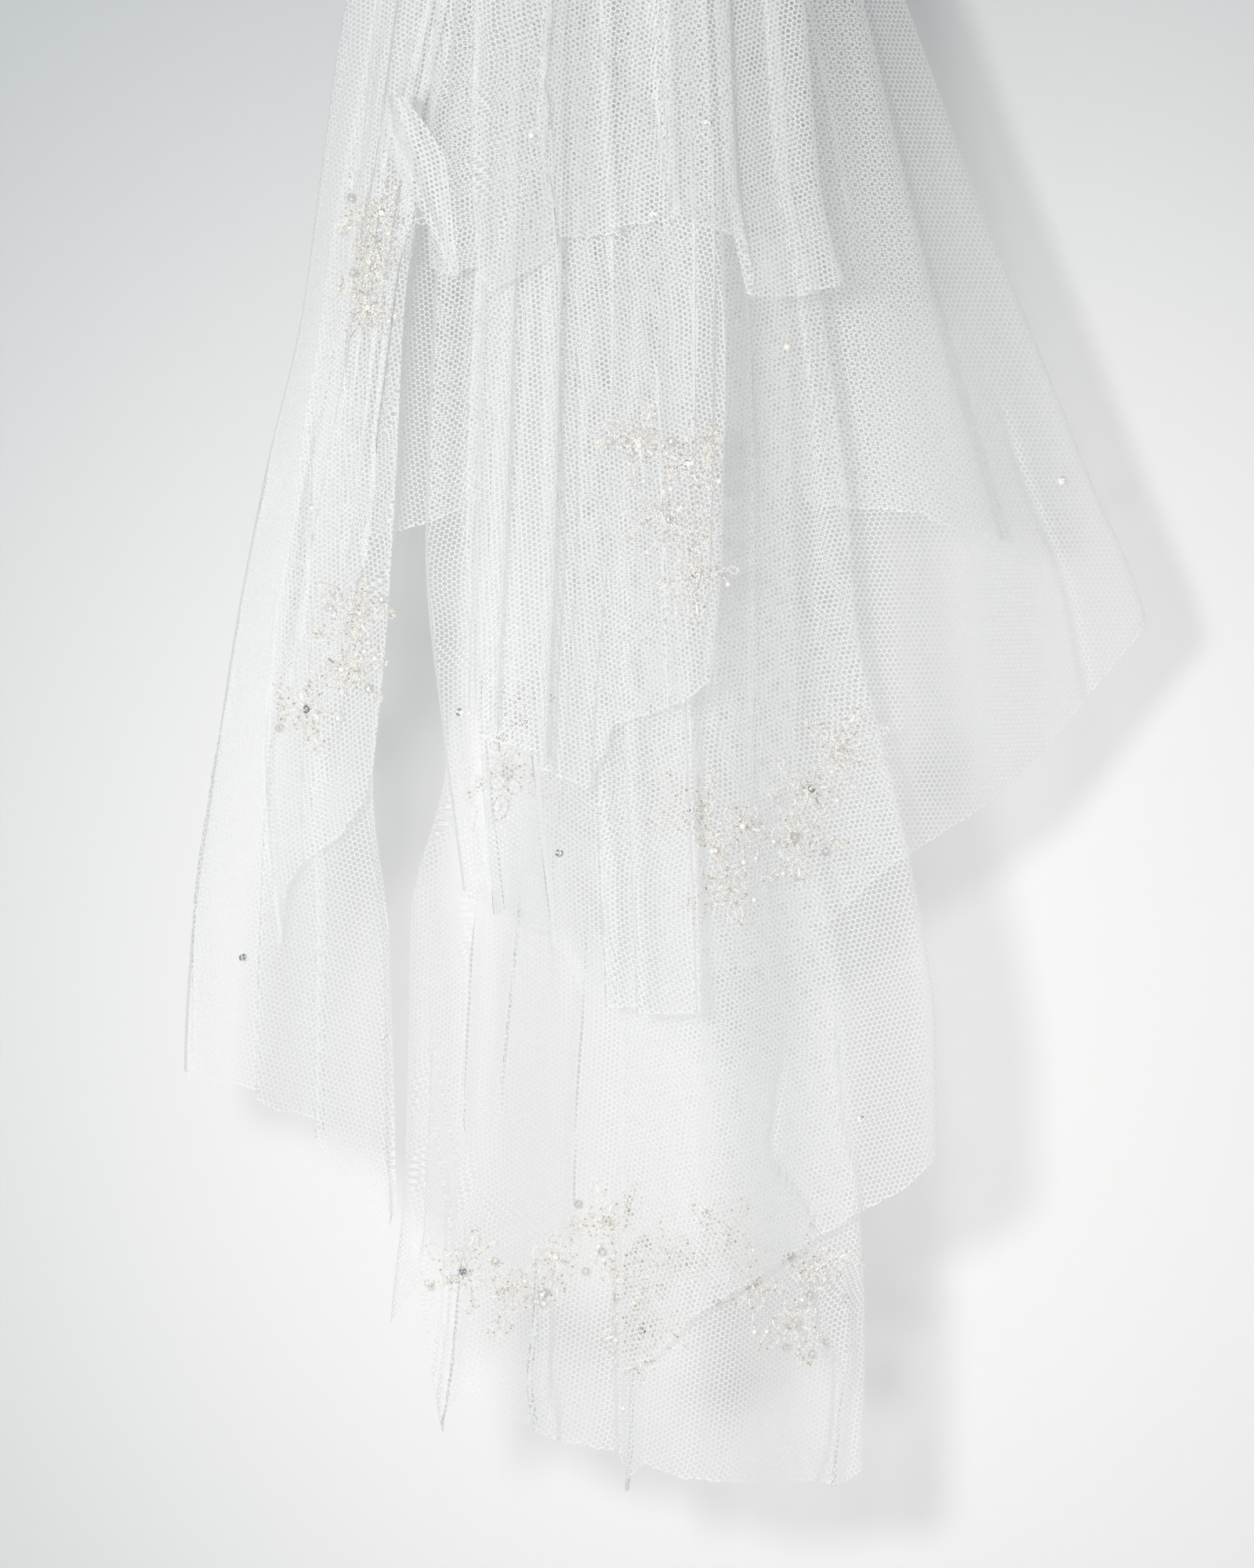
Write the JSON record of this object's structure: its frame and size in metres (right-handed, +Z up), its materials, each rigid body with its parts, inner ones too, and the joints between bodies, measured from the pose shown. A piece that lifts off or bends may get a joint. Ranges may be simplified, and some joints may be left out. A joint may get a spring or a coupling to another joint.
{
  "type": "bridal veil",
  "caption": "Fingertip-length bridal veil: raw-edged tulle gathered in tiers and falls onto a hair comb, with open lace sprays sewn to its front falls and above its lowest hem.",
  "frame": {"origin": "middle of the comb's spine, where the veil is held in the hair, at the root of the gathers", "axes": "+Z straight up along the hanging veil, +X across it, -Y the showing side, +Y the wearer's side"},
  "size_m": [0.5176, 0.1817, 1.0696],
  "materials": {
    "tulle_white": "white nylon tulle, sheer",
    "lace_ivory": "ivory beaded lace",
    "comb_silver": "silver-plated wire"
  },
  "bodies": {
    "root": {"comb": "comb_silver", "back_right_fall": "tulle_white", "shoulder_tier": "tulle_white", "long_tier": "tulle_white", "left_fall": "tulle_white", "front_right_fall": "tulle_white", "left_front_fall": "tulle_white", "centre_fall": "tulle_white", "elbow_tier": "tulle_white", "short_tier": "tulle_white", "turned_corner": "tulle_white", "lace_upper_left": "lace_ivory", "lace_lower_left": "lace_ivory", "lace_centre": "lace_ivory", "lace_under": "lace_ivory", "lace_right": "lace_ivory", "lace_hem_left": "lace_ivory", "lace_hem_middle": "lace_ivory", "lace_hem_right": "lace_ivory"}
  },
  "joints": []
}
